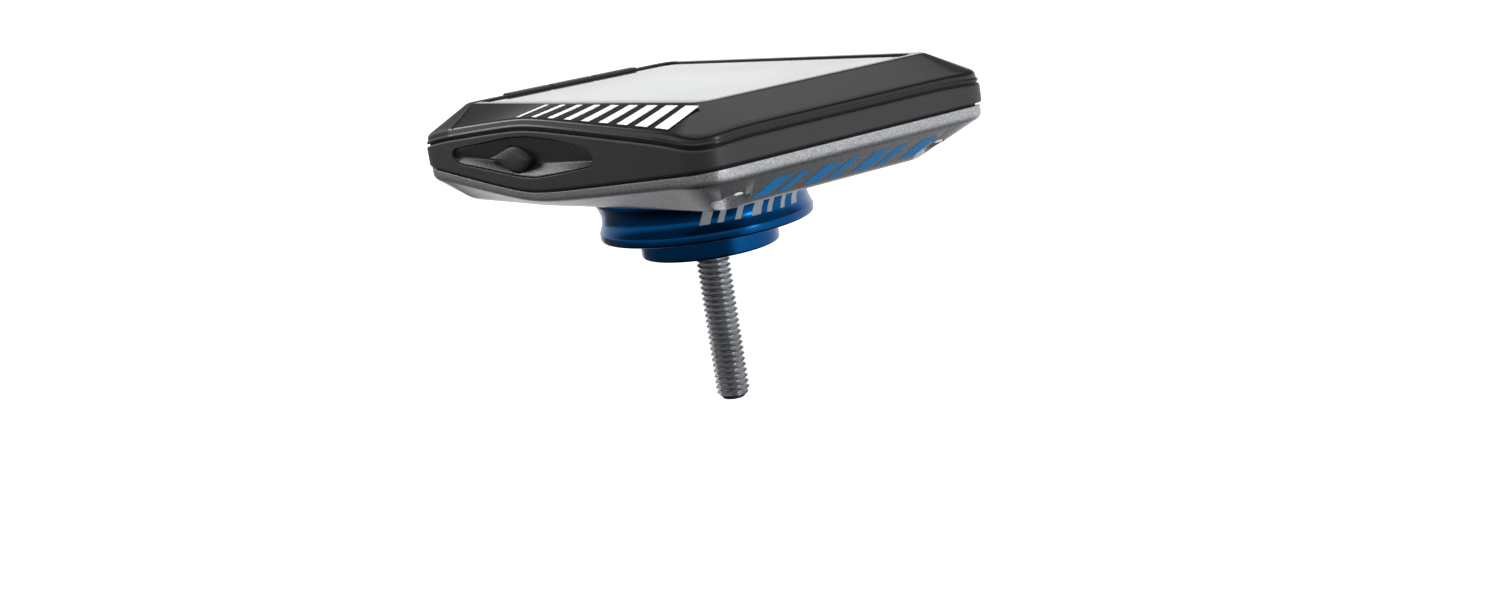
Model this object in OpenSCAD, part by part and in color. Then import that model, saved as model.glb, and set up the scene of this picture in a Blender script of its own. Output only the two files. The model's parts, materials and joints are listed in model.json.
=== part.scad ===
// Handlebar computer twisted onto a quarter-turn top-cap bracket.
// Origin: centre of the bracket's underside, where it rests on the stem.
// +Z runs up the steerer, +Y to the display's front end, +X to the rider's right.
// The computer's parts are drawn about the middle of the case; case_frame() puts them in place.

/* [Computer] */
// Width across the zoom and power sides
case_w = 57.5; // [56:0.5:59]
// Length from the rider end to the front end
case_l = 90.3; // [89:0.1:92]
// Thickness from the face down to the end of the twist foot
case_h = 21.2; // [21:0.1:21.6]
// Plan radius of the case corners
corner_r = 4.5; // [4:0.5:6]
// How far the case sits towards the rider from the twist axis
case_back = 1.6; // [0:0.1:3]

/* [Face] */
// Slope width between the case side and the flat face
slope_side = 6.3; // [5.5:0.1:7]
// Slope width at the front end
slope_front = 6.4; // [5.5:0.1:7]
// Slope width at the rider end
slope_rider = 8; // [7.5:0.1:8.5]
// Rim left around the lens at the sides
rim_side = 1.6; // [1.4:0.1:1.8]
// Lens thickness
lens_t = 1; // [0.8:0.1:1.2]
// How far the lens lies below the rim
lens_sunk = 0.25; // [0.1:0.05:0.4]

/* [Band] */
// Height of the dark gap above and below the band
seal_t = 0.35; // [0.25:0.05:0.45]
// Height of the upper seam at the top of its arch, above the bracket's underside
arch_top = 21.8; // [21.5:0.1:22]
// Height of the lower seam at its lowest point
belly_low = 11.7; // [11.5:0.1:12]
// Vertical lip of the front housing above its seam
front_lip = 1.6; // [1.3:0.1:1.8]
// Wall of the band
band_wall = 2.2; // [2:0.1:2.4]

/* [Buttons] */
// Width of each front button
key_w = 9; // [8:0.1:9.2]
// How far the front buttons stand above the face
key_proud = 0.3; // [0.2:0.05:0.4]
// Gap around every button
key_gap = 0.2; // [0.15:0.05:0.25]

/* [Bracket] */
// Radius of the bracket at its foot
cap_r = 18.5; // [18:0.1:19]
// Height of the bracket
cap_h = 7.3; // [7.2:0.1:7.4]
// How far the bracket narrows at its waist
cap_waist = 0.75; // [0.4:0.05:1]
// Radius of the spigot that centres the bracket in the steerer
spigot_r = 12; // [11.8:0.1:12.2]
// Depth of that spigot
spigot_h = 4; // [3.5:0.5:5]
// Radius of the clamping bolt
bolt_r = 3; // [3:0.1:3.1]
// Length of the clamping bolt under its head
bolt_l = 30; // [25:1:35]

/* [Twist foot] */
// Radius of the round foot under the computer
foot_r = 12.4; // [12.2:0.1:12.5]
// Radius over the two locking tabs
tab_r = 14.6; // [14.4:0.1:14.7]
// Angle that each tab covers
tab_angle = 56; // [50:1:58]

/* [Hidden] */

$fn = 64;
hull_fn = 32;
eps = 0.01;
far = 60;
front_inset = 0.15;
sole_taper = 4.5;

// Heights above the bracket's underside
foot_h = 4.2;
under_gap = 0.9;
z_under = cap_h + under_gap;
z_foot = z_under - foot_h;
z_face = z_foot + case_h;
z_lens = z_face - lens_sunk;
gasket_t = 0.2;
z_ledge = z_lens - lens_t - gasket_t;
ledge_t = 1;
z_board = 16.4;
board_t = 1;
z_board_top = z_board + board_t;

// Plan sizes of the flat face and the lens
half_w = case_w / 2;
half_l = case_l / 2;
flat_x = half_w - slope_side;
flat_front = half_l - slope_front;
flat_rider = -half_l + slope_rider;
flat_r = 2.5;
lens_x = flat_x - rim_side;
lens_front = flat_front - 1.9;
lens_rider = flat_rider + 2.9;
window = [17.9, -30.6, 30.2];
lcd = [18.4, -31.6, 31.2];

// The seams: two straight slopes that meet in a round crest
crest_s = 6;
arch_y = -4.4;
belly_y = -6.4;
function ridge(d) = sqrt(d * d + crest_s * crest_s) - crest_s;
function seam_front(y) = arch_top - (y < arch_y ? 0.092 : 0.05) * ridge(y - arch_y);
function seam_rear(y) = belly_low + 0.1 * ridge(y - belly_y);
function stations(y0) = [for (i = [-8:8]) y0 + 52 * sign(i) * pow(i / 8, 2)];
// The rear lip is taller across the two ends than along the sides
function end_part(y) = min(1, max(0, (abs(y) - 36) / 8));
function rear_lip(y) = 1.4 + 0.5 * end_part(y);

// Case screws: where their heads seat, and where the bosses they pull on begin
screw_seat_z = 12.4;
boss_z = 14;

// Screw places in the case's plan frame
case_screws = [for (sx = [-1, 1], sy = [-1, 1]) [20 * sx, 39 * sy]];
board_holes = [for (sx = [-1, 1], sy = [-1, 1]) [18.2 * sx, 33.7 * sy]];

// Zoom recess: right-hand side, seen from outside, as [y, z] with its outward direction
boat = [
    [[-32.4, 16.9], [-1, 0]], [[-31.0, 15.7], [-0.5, -0.9]], [[-19.4, 14.8], [-0.1, -1]],
    [[-8.9, 14.0], [0, -1]], [[-3.8, 13.9], [0.1, -1]], [[4.5, 14.9], [0.15, -1]],
    [[14.8, 16.3], [0.6, -0.8]], [[16.1, 17.8], [1, 0]], [[15.2, 19.2], [0.8, 0.6]],
    [[4.3, 20.4], [0.15, 1]], [[-4.3, 20.8], [0.05, 1]], [[-11.0, 20.5], [-0.1, 1]],
    [[-31.1, 18.2], [-0.6, 0.8]]
];
function boat_points(grow) = [for (p = boat) p[0] + grow * p[1]];
nub = [-19, -5.2];
nub_z = 16.8;
nub_half = 2.3;
function nub_half_at(t) = nub_half * pow(sin(180 * pow(t, 1.5)), 0.8);
zoom_split = -11.4;
zoom_posts = [-21, 0];
vee_z = 15.8;
zoom_face = half_w - 0.15;
zoom_back = half_w - 2.9;

// Power button: a plain pill on the left-hand side
power_y = [-14, -2];
power_r = 1.9;
power_z = 16.6;

// Charging port and flap at the rider end
flap_half = 7;
flap_z = [13.3, 17.3];
hinge_in = 0.7;
port_z = 13.8;

// ---- helpers ----

module case_frame() {
    translate([0, -case_back, 0]) children();
}

// Rounded rectangle between two Y values
module plan(x, y0, y1, r) {
    for (s = [-1, 1], y = [y0 + r, y1 - r])
        translate([s * (x - r), y]) circle(r = r);
    translate([-x, y0 + r]) square([2 * x, y1 - y0 - 2 * r]);
    translate([-x + r, y0]) square([2 * (x - r), y1 - y0]);
}

module outline(inset) {
    plan(half_w - inset, -half_l + inset, half_l - inset, corner_r - inset);
}

// Slab across the case whose side view is a polygon of [y, z] points
module side_slab(points, half = far) {
    rotate([90, 0, 90])
        translate([0, 0, -half])
            linear_extrude(2 * half)
                polygon(points);
}

function front_line(dz) = [for (y = stations(arch_y)) [y, seam_front(y) + dz]];
function rear_line(dz, lip = 0) =
    [for (y = stations(belly_y)) [y, seam_rear(y) + dz - lip * rear_lip(y)]];
function flip(v) = [for (i = [len(v) - 1:-1:0]) v[i]];
// A seam line closed off by a level far above or below it
function closed(line, z) = concat(line, [[line[len(line) - 1][0], z], [line[0][0], z]]);

module box(x0, x1, y0, y1, z0, z1) {
    translate([x0, y0, z0]) cube([x1 - x0, y1 - y0, z1 - z0]);
}

module wedge(angle, r, h) {
    a = angle / 2;
    linear_extrude(h)
        polygon([[0, 0], r * [cos(a), -sin(a)], r * [1, 0], r * [cos(a), sin(a)]]);
}

// Pill standing on a side wall, drawn along +X
module side_pill(y0, y1, z, r, depth) {
    for (y = [y0 + r, y1 - r])
        translate([0, y, z]) rotate([0, 90, 0]) cylinder(r = r, h = depth);
    box(0, depth, y0 + r, y1 - r, z - r, z + r);
}

module on_side(depth) {
    rotate([90, 0, 90]) linear_extrude(depth) children();
}

module nub_shape(grow = 0) {
    n = 20;
    reach = nub[1] - nub[0] + 2 * grow;
    upper = [for (i = [0:n]) [nub[0] - grow + reach * i / n,
        nub_z + nub_half_at(i / n) * (1 + grow / nub_half)]];
    lower = [for (p = flip(upper)) [p[0], 2 * nub_z - p[1]]];
    polygon(concat(upper, [for (i = [1:n - 1]) lower[i]]));
}

// ---- bracket ----

module top_cap() {
    steps = 10;
    waist = [for (i = [0:steps]) [cap_r + 0.1 * i / steps - cap_waist * sin(180 * i / steps),
        1.4 + (cap_h - 2.2) * i / steps]];
    pocket_r = 15.5;
    floor_z = 2.6;
    color("#0f4a86") difference() {
        rotate_extrude() polygon(concat(
            [[0, -spigot_h], [spigot_r - 0.5, -spigot_h], [spigot_r, -spigot_h + 0.5],
             [spigot_r, 0], [cap_r - 0.5, 0], [cap_r, 0.5]],
            waist,
            [[cap_r + 0.1, cap_h - 0.4], [cap_r - 0.3, cap_h], [pocket_r, cap_h],
             [pocket_r, floor_z], [0, floor_z]]));
        translate([0, 0, -spigot_h - 1]) cylinder(r = bolt_r + 0.3, h = spigot_h + 5);
        translate([0, 0, -1]) cylinder(r = 5.6, h = 5);
        insert_screw_places() translate([0, 0, -2]) cylinder(r = 1.3, h = 6);
    }
}

module insert_screw_places() {
    for (a = [90, 210, 330]) rotate(a) translate([9.6, 0, 0]) children();
}

module bayonet_insert() {
    z0 = 2.6;
    z_floor = 3.8;
    z_lip = 5.7;
    channel_r = tab_r + 0.25;
    color("#26282b") difference() {
        translate([0, 0, z0]) cylinder(r = 15.45, h = cap_h - z0);
        translate([0, 0, z0 - 1]) cylinder(r = 5.6, h = 3);
        translate([0, 0, z_floor]) cylinder(r = channel_r, h = z_lip - z_floor);
        translate([0, 0, z_lip - eps]) cylinder(r = foot_r + 0.2, h = cap_h);
        for (a = [90, 270]) intersection() {
            translate([0, 0, z_lip - eps]) cylinder(r = channel_r, h = cap_h);
            translate([0, 0, z_lip - eps]) rotate(a) wedge(tab_angle + 6, 20, cap_h);
        }
        insert_screw_places() {
            translate([0, 0, z0 - 1]) cylinder(r = 1.35, h = 3);
            translate([0, 0, z0]) cylinder(r1 = 1.35, r2 = 2.4, h = z_floor - z0 + eps);
        }
    }
}

module insert_screws() {
    color("#9a9da1") insert_screw_places() difference() {
        union() {
            translate([0, 0, -1.7]) cylinder(r = 1.25, h = 4.4);
            translate([0, 0, 2.65]) cylinder(r1 = 1.25, r2 = 2.2, h = 1.1);
        }
        translate([0, 0, 3.1]) cylinder(r = 0.85, h = 1, $fn = 6);
    }
}

module cap_bolt() {
    head_z = -1;
    head_h = 3.4;
    thread_top = -spigot_h - 0.5;
    tip = head_z - bolt_l;
    neck_r = bolt_r - 0.5;
    color("#8f9296") difference() {
        rotate_extrude() polygon([
            [0, tip], [bolt_r - 0.8, tip], [bolt_r, tip + 1], [bolt_r, thread_top],
            [neck_r, thread_top], [neck_r, head_z], [5, head_z],
            [5, head_z + head_h], [0, head_z + head_h]
        ]);
        translate([0, 0, head_z + head_h - 2.2]) cylinder(r = 2.9, h = 3, $fn = 6);
    }
}

// ---- casing ----

// Tapered block of the front housing: outside, or the cavity in it
module front_block(inset, z_top, x, y0, y1, r, lift) {
    hull() {
        translate([0, 0, z_top - eps])
            linear_extrude(eps) plan(x, y0, y1, r, $fn = hull_fn);
        intersection() {
            translate([0, 0, 12]) linear_extrude(far) outline(inset, $fn = hull_fn);
            side_slab(concat(front_line(seal_t), flip(front_line(lift))));
        }
    }
}

module front_housing() {
    roof = z_ledge - ledge_t;
    cover = 1.8;
    slot = [lens_rider - 0.7, -41.15];
    color("#1c1e21") case_frame() {
        difference() {
            front_block(front_inset, z_face, flat_x, flat_rider, flat_front, flat_r, seal_t + front_lip);
            difference() {
                front_block(2.3, roof, flat_x + 1, flat_rider - 2, flat_front + 1.3, 4, 1.1);
                for (p = case_screws) translate(p) cylinder(r = 2.8, h = far);
            }
            side_slab(closed(front_line(seal_t), -far));
            translate([0, 0, z_ledge])
                linear_extrude(far) plan(lens_x + 0.1, lens_rider - 0.1, lens_front + 0.1, flat_r);
            box(-window[0], window[0], window[1], window[2], roof - 5, far);
            box(-3 * key_w / 2 - 0.55, 3 * key_w / 2 + 0.55, slot[1], slot[0], 15, far);
            box(-20, -18.8, -22, 22, roof - 1, far);
            box(-14, 14, 32.5, 33.8, roof - 1, far);
            for (p = case_screws) translate(p) cylinder(r = 1.05, h = boss_z + 6);
        }
        for (p = case_screws) translate(p) difference() {
            translate([0, 0, boss_z]) cylinder(r = 2.6, h = 20.5 - boss_z);
            cylinder(r = 1.05, h = boss_z + 6);
        }
        for (p = board_holes) translate(p) difference() {
            translate([0, 0, z_board_top]) cylinder(r = 1.9, h = roof - z_board_top + 0.3);
            cylinder(r = 0.85, h = z_board_top + 3.2);
        }
    }
}

module seam_ring(inner, outer, points) {
    intersection() {
        linear_extrude(far) difference() {
            outline(outer);
            outline(inner);
        }
        side_slab(points);
    }
}

module front_seal() {
    color("#101113") case_frame()
        seam_ring(2, 1, concat(front_line(0), flip(front_line(seal_t))));
}

module rear_seal() {
    color("#101113") case_frame() difference() {
        seam_ring(2, 1, concat(rear_line(-seal_t), flip(rear_line(0))));
        flap_opening();
    }
}

module flap_opening() {
    z0 = flap_z[0] - hinge_in - 0.15;
    box(-flap_half - 0.15, flap_half + 0.15, -half_l - 1, -half_l + 1.55, z0, flap_z[1] + 0.15);
    box(-4.8, 4.8, -half_l - 1, -half_l + 6, 13.5, 16.75);
}

module mid_frame() {
    color("#3a3c3f") case_frame() {
        difference() {
            seam_ring(band_wall, 0, concat(rear_line(0), flip(front_line(0))));
            translate([half_w - 5, 0, 0]) on_side(10) polygon(boat_points(0));
            translate([-half_w - 1, 0, 0])
                side_pill(power_y[0] - key_gap, power_y[1] + key_gap, power_z, power_r + key_gap, 8);
            flap_opening();
        }
        // Fixed nub between the zoom buttons, on a strut behind them
        translate([half_w - 1.75, 0, 0]) on_side(1.4) nub_shape();
        box(half_w - 3.4, half_w - 1.7, zoom_split - 1.5, zoom_split + 1.5, nub_z - 1.5, nub_z + 1.5);
        box(half_w - 3.4, half_w - 2.4, zoom_split - 1.5, zoom_split + 1.5, 12.4, 20.8);
        for (z = [12.4, 20.3])
            box(half_w - 2.5, half_w - 2.1, zoom_split - 1.5, zoom_split + 1.5, z, z + 0.5);
    }
}

// Block of the rear housing: outside, or the cavity in it
// The underside narrows towards the front of the case
module rear_block(inset, z_low, x_in, y_in, r, lift, top) {
    hull() {
        translate([0, 0, z_low]) linear_extrude(eps) hull() {
            plan(half_w - x_in, -half_l + y_in, -10, r, $fn = hull_fn);
            plan(half_w - x_in - sole_taper, -half_l + y_in, half_l - y_in, r, $fn = hull_fn);
        }
        intersection() {
            linear_extrude(far) outline(inset, $fn = hull_fn);
            side_slab(concat(rear_line(lift - seal_t, 1), flip(rear_line(top))));
        }
    }
}

module rear_housing() {
    wall = 1.7;
    color("#8e9094") {
        case_frame() difference() {
            union() {
                difference() {
                    rear_block(0.25, z_under, 3.5, 8.6, 4, 0, -seal_t);
                    rear_block(2.3, z_under + wall, 4.7, 9.8, 3, 1.1, 2);
                }
                for (p = case_screws) translate(p) intersection() {
                    translate([0, 0, z_under + 1]) cylinder(r = 2.9, h = boss_z - z_under - 1.1);
                    translate([-p[0], -p[1], 0])
                        rear_block(0.25, z_under, 3.5, 8.6, 4, 0, -seal_t);
                }
            }
            side_slab(closed(rear_line(-seal_t), far));
            for (p = case_screws) translate(p) {
                cylinder(r = 1.2, h = 20);
                cylinder(r = 2.2, h = screw_seat_z);
            }
            translate([0, -30.5, 0]) cylinder(r = 0.6, h = 12);
            flap_opening();
        }
        difference() {
            union() {
                translate([0, 0, z_foot]) cylinder(r = foot_r, h = foot_h + 0.4);
                for (a = [0, 180]) intersection() {
                    translate([0, 0, z_foot]) cylinder(r = tab_r, h = 1.5);
                    translate([0, 0, z_foot]) rotate(a) wedge(tab_angle, 20, 1.5);
                }
            }
            translate([0, 0, z_foot - 1]) cylinder(r = 7, h = 2.2);
        }
    }
}

module housing_screws() {
    color("#b5b8bc") case_frame() for (p = case_screws) translate(p) difference() {
        union() {
            translate([0, 0, screw_seat_z - 1.4]) cylinder(r = 2, h = 1.4);
            translate([0, 0, screw_seat_z - 0.1]) cylinder(r = 1, h = 7);
        }
        translate([0, 0, screw_seat_z - 1.5]) cylinder(r = 0.9, h = 0.9, $fn = 6);
    }
}

module vent_membrane() {
    color("white") translate([0, -30.5 - case_back, z_under + 1.72]) cylinder(r = 2.2, h = 0.2);
}

// ---- display ----

module display_lens() {
    color("#c9d2d8") case_frame() translate([0, 0, z_lens - lens_t])
        linear_extrude(lens_t) plan(lens_x, lens_rider, lens_front, flat_r - 0.1);
}

module lens_gasket() {
    color("#151515") case_frame() translate([0, 0, z_ledge]) linear_extrude(gasket_t) difference() {
        plan(lens_x - 0.1, lens_rider + 0.1, lens_front - 0.1, flat_r - 0.2);
        translate([-20, lens_rider + 1.6]) square([38.2, lens_front - lens_rider - 4.6]);
    }
}

module lcd_panel() {
    color("#5f6f66") case_frame() box(-lcd[0], lcd[0], lcd[1], lcd[2], z_ledge - ledge_t - 1.55,
        z_ledge - ledge_t - 0.05);
}

module backlight_frame() {
    z1 = z_ledge - ledge_t - 1.6;
    color("#e4e4de") case_frame() difference() {
        box(-lcd[0], lcd[0], lcd[1], lcd[2], z1 - 1.3, z1);
        box(-lcd[0] + 1, lcd[0] - 1, lcd[1] + 1, lcd[2] - 1, z1 - 2, z1 - 0.9);
    }
}

module display_flex() {
    z1 = z_ledge - ledge_t - 0.7;
    y0 = lcd[1] - 1;
    color("#b5651d") case_frame() {
        box(-8, 8, y0, lcd[1] - 0.02, z1 - 0.2, z1);
        box(-8, 8, y0, y0 + 0.2, z_board_top + 0.02, z1);
        box(-8, 8, y0, y0 + 4, z_board_top + 0.02, z_board_top + 0.22);
    }
}

module led_bar_left() {
    color("#dfe6ea") case_frame() box(-19.95, -18.85, -21.9, 21.9, z_board_top + 0.6, z_ledge);
}

module led_bar_front() {
    color("#dfe6ea") case_frame() box(-13.9, 13.9, 32.6, 33.7, z_board_top + 0.6, z_ledge);
}

module status_leds() {
    color("#f4f4e6") case_frame() for (i = [-3:3]) {
        translate([-19.4, 6.6 * i, z_board_top]) led();
        translate([4.2 * i, 33.15, z_board_top]) led();
    }
}

module led() {
    translate([-0.5, -0.5, 0.01]) cube([1, 1, 0.45]);
}

// ---- electronics ----

module main_board() {
    color("#17552f") case_frame() difference() {
        translate([0, 0, z_board]) linear_extrude(board_t) {
            plan(21.2, -35.9, 35.9, 1);
            plan(15.5, -41, 41, 1);
        }
        for (p = board_holes) translate(p) cylinder(r = 0.9, h = far);
    }
}

module board_screws() {
    color("#b5b8bc") case_frame() for (p = board_holes) translate(p) {
        translate([0, 0, z_board - 0.9]) cylinder(r = 1.5, h = 0.88);
        translate([0, 0, z_board - 0.1]) cylinder(r = 0.8, h = 4);
    }
}

module shield_cans() {
    color("#c3c6c9") case_frame() {
        box(-16, 2, -23, -5, z_board_top + 0.01, z_board_top + 1.8);
        box(0, 16, 2, 24, z_board_top + 0.01, z_board_top + 1.8);
    }
}

module gps_antenna() {
    color("#c9b48a") case_frame() box(-7, 7, 34.9, 40.6, z_board_top + 0.01, z_board_top + 2.5);
}

module buzzer() {
    color("#2a2a2a") case_frame() translate([-8, 33, z_board - 2.4]) difference() {
        cylinder(r = 6, h = 2.38);
        translate([0, 0, -1]) cylinder(r = 0.8, h = 1.6);
    }
}

module pressure_sensor() {
    color("#d0c9b0") case_frame() box(12, 15, 29, 32, z_board - 1.1, z_board - 0.01);
}

module usb_port() {
    y0 = -half_l + 3;
    color("#c3c6c9") case_frame() difference() {
        box(-3.9, 3.9, y0, y0 + 5.4, port_z, z_board - 0.01);
        box(-3.4, 3.4, y0 - 1, y0 + 4.6, port_z + 0.45, z_board - 0.5);
    }
}

module battery() {
    color("#3f5f93") case_frame() translate([0, 0, 10.35]) linear_extrude(4.5) plan(17, -24, 26, 2);
}

module battery_pad() {
    color("#4a4a4a") case_frame() box(-15, 15, -22, 24, 9.93, 10.33);
}

module battery_lead() {
    y_turn = 29;
    z_in = 12.6;
    for (i = [0, 1]) color(i == 0 ? "#b03030" : "#202020") case_frame() translate([5 + 1.6 * i, 0, 0]) {
        translate([0, 26.02, z_in]) rotate([-90, 0, 0]) cylinder(r = 0.6, h = y_turn - 26.02);
        translate([0, y_turn, z_in]) sphere(r = 0.6);
        translate([0, y_turn, z_in]) cylinder(r = 0.6, h = 2.28);
    }
}

module battery_connector() {
    color("#ece7d6") case_frame() box(3, 8.6, 27.2, 31.2, 14.9, z_board - 0.01);
}

module key_board() {
    color("#17552f") case_frame() box(-15.3, 15.3, -40.5, -34, 19.7, 20.5);
}

module key_domes() {
    color("#c9a45a") case_frame() for (i = [-1:1])
        translate([i * (key_w + 0.4), -37.6, 20.51]) cylinder(r1 = 2.2, r2 = 1.2, h = 0.38);
}

module keypad_mat() {
    color("#2b2b2b") case_frame() box(-15, 15, -40.3, -34.8, 20.92, 21.4);
}

module zoom_switches() {
    color("#3a3a3a") case_frame() for (y = zoom_posts) side_switch(y);
}

module power_switch() {
    color("#3a3a3a") case_frame() mirror([1, 0, 0]) side_switch((power_y[0] + power_y[1]) / 2);
}

module side_switch(y) {
    box(20, 23.4, y - 3, y + 3, z_board - 1.75, z_board - 0.01);
    translate([23.3, y, z_board - 0.9]) rotate([0, 90, 0]) cylinder(r = 0.7, h = 0.7);
}

// ---- buttons and flap ----

// Front button: its top follows the flat face and then the rider-end slope
module front_button(i) {
    y_in = lens_rider - 0.85;
    y_out = -41;
    lip_z = seam_front(-half_l) + seal_t + front_lip;
    fall = (z_face - lip_z) / (slope_rider - front_inset);
    z_out = z_face - (flat_rider - y_out) * fall;
    color("#303235") case_frame() translate([i * (key_w + 0.4), 0, 0])
        side_slab([
            [y_in, 21.9], [y_in, z_face + key_proud - 0.2], [y_in - 0.25, z_face + key_proud],
            [flat_rider - 0.1, z_face + key_proud], [y_out + 0.25, z_out + key_proud],
            [y_out, z_out + key_proud - 0.3], [y_out, 21.9]
        ], key_w / 2);
}

// Zoom button: half of the recess insert, with the vee groove pressed into it
module zoom_button(dir) {
    split = zoom_split + dir * 0.15;
    post_y = zoom_posts[dir > 0 ? 1 : 0];
    color("#2a2c2f") case_frame() {
        difference() {
            translate([zoom_back, 0, 0]) on_side(zoom_face - zoom_back) polygon(boat_points(-key_gap));
            hull() {
                translate([zoom_face, 0, 0]) on_side(2) polygon(boat_points(-key_gap - 0.35));
                box(zoom_face - 0.6, half_w, -31.2, -31.1, vee_z + 1.05, vee_z + 1.15);
                box(zoom_face - 2, half_w, zoom_split, zoom_split + 0.1, vee_z, vee_z + 0.1);
                box(zoom_face - 1, half_w, 14.5, 14.6, vee_z + 1.3, vee_z + 1.4);
            }
            translate([half_w - 5, 0, 0]) on_side(8) nub_shape(key_gap + 0.05);
            box(0, half_w - 1.5, zoom_split - 2, zoom_split + 2, 0, far);
            box(0, far, dir > 0 ? -far : split, dir > 0 ? split : far, 0, far);
        }
        translate([24.6, post_y, z_board - 0.8]) rotate([0, 90, 0])
            cylinder(r = 0.6, h = zoom_back - 24.6 + 0.2);
    }
}

module power_button() {
    color("#2a2c2f") case_frame() mirror([1, 0, 0]) {
        difference() {
            translate([zoom_back, 0, 0])
                side_pill(power_y[0], power_y[1], power_z, power_r, half_w + 0.2 - zoom_back);
            translate([half_w + 15, (power_y[0] + power_y[1]) / 2, power_z])
                rotate([90, 0, 0]) cylinder(r = 15.2, h = 8, center = true);
        }
        translate([24.6, (power_y[0] + power_y[1]) / 2, z_board - 0.9]) rotate([0, 90, 0])
            cylinder(r = 0.9, h = zoom_back - 24.6 + 0.2);
    }
}

module usb_flap() {
    y = -half_l;
    color("#1b1c1e") case_frame() {
        box(-flap_half, flap_half, y, y + 1.3, flap_z[0], flap_z[1]);
        translate([-flap_half, y + hinge_in, flap_z[0]]) rotate([0, 90, 0])
            cylinder(r = 0.6, h = 2 * flap_half);
        box(-4, 4, y + 1.2, y + 2.4, 13.95, 16.2);
    }
}

top_cap();
bayonet_insert();
insert_screws();
cap_bolt();
rear_housing();
rear_seal();
mid_frame();
front_seal();
front_housing();
housing_screws();
vent_membrane();
display_lens();
lens_gasket();
lcd_panel();
backlight_frame();
display_flex();
led_bar_left();
led_bar_front();
status_leds();
main_board();
board_screws();
shield_cans();
gps_antenna();
buzzer();
pressure_sensor();
usb_port();
battery();
battery_pad();
battery_lead();
battery_connector();
key_board();
key_domes();
keypad_mat();
zoom_switches();
power_switch();
front_button(-1);  // button_left
front_button(0);  // button_center
front_button(1);  // button_right
zoom_button(1);  // zoom_up_button
zoom_button(-1);  // zoom_down_button
power_button();
usb_flap();
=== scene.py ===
"""A cycling computer twisted onto its blue top-cap bracket.

Lengths are in millimetres until a mesh is made. Places on the case are given about its middle,
which is CASE_Y from the twist axis."""

import json
import math

import bmesh
import bpy
import numpy as np
from mathutils import Matrix, Vector


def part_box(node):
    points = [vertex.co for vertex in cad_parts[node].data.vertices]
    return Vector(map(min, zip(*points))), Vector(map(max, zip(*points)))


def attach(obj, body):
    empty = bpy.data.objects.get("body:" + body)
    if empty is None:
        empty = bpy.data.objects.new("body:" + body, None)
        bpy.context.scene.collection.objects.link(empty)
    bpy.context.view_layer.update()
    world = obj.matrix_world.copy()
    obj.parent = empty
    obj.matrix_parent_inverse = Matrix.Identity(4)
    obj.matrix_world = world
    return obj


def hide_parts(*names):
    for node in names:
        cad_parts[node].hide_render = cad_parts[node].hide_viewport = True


MM = 0.001
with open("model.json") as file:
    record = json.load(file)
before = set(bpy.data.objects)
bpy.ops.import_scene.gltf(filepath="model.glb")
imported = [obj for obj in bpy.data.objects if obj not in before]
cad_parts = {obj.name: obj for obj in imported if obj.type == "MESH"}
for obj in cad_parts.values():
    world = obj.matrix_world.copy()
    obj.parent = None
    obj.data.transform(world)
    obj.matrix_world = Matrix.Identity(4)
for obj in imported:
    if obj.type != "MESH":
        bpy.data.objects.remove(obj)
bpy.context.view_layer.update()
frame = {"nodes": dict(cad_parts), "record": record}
scene = bpy.context.scene


# ---- sizes, read from the frame ----

def extent(node):
    """Lowest and highest corner of a CAD node, in millimetres."""
    low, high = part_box(node)
    return np.array(low) / MM, np.array(high) / MM


band_low, band_high = extent("mid_frame")
HALF_W = band_high[0]
HALF_L = (band_high[1] - band_low[1]) / 2
CASE_Y = (band_high[1] + band_low[1]) / 2
lens_low, lens_high = extent("display_lens")
LENS_X = lens_high[0]
LENS_Y = (lens_low[1] - CASE_Y, lens_high[1] - CASE_Y)
Z_LENS = lens_high[2]
Z_FACE = extent("front_housing")[1][2]
Z_FOOT = extent("rear_housing")[0][2]
Z_LEDGE = extent("lens_gasket")[0][2]
FOOT_H = 4.2
Z_UNDER = Z_FOOT + FOOT_H
CAP_H = extent("top_cap")[1][2]
CORNER_R = 7.0
CORNER_POWER = 3.5
SEAL_T = 0.35
FRONT_INSET = 0.15

# Width of the rim where each housing meets the band
RIM = 2.3

# Window over the screen: half its width, its rider end and its front end
WINDOW = (17.9, -30.6, 30.2)

# The flat face, and the slopes around it
SLOPE_SIDE, SLOPE_FRONT, SLOPE_RIDER = 6.3, 6.4, 8.0
FLAT_X = HALF_W - SLOPE_SIDE
FLAT_Y = (-HALF_L + SLOPE_RIDER, HALF_L - SLOPE_FRONT)
FRONT_LIP = 1.6

# The seams are two straight slopes that meet in a round crest
CREST = 6.0
ARCH_TOP, ARCH_Y = 21.8, -4.4
ARCH_SLOPE_RIDER, ARCH_SLOPE_FRONT = 0.092, 0.05
BELLY_LOW, BELLY_Y, BELLY_SLOPE = 11.7, -6.4, 0.1
DIP_DEPTH, DIP_REACH = 0.5, 6.5

# The rear housing's lip is higher over the last stretch at each end
LIP_H, LIP_EXTRA, LIP_END_Y, LIP_END_L = 1.4, 0.5, 36, 8


def ridge(d):
    """Fall from a round crest at distance d, for a slope of one."""
    return np.sqrt(d * d + CREST * CREST) - CREST


def corner_dip(x, y):
    """The front seam drops slightly as it rounds each corner."""
    away = np.hypot(HALF_W - np.abs(x), HALF_L - np.abs(y))
    return DIP_DEPTH * np.exp(-((away / DIP_REACH) ** 2))


def seam_front(x, y):
    slope = np.where(y < ARCH_Y, ARCH_SLOPE_RIDER, ARCH_SLOPE_FRONT)
    return ARCH_TOP - slope * ridge(y - ARCH_Y) - corner_dip(x, y)


def seam_rear(x, y):
    return BELLY_LOW + BELLY_SLOPE * ridge(y - BELLY_Y)


def rear_lip(y):
    return LIP_H + LIP_EXTRA * np.clip((np.abs(y) - LIP_END_Y) / LIP_END_L, 0, 1)


# ---- mesh helpers ----

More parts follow.
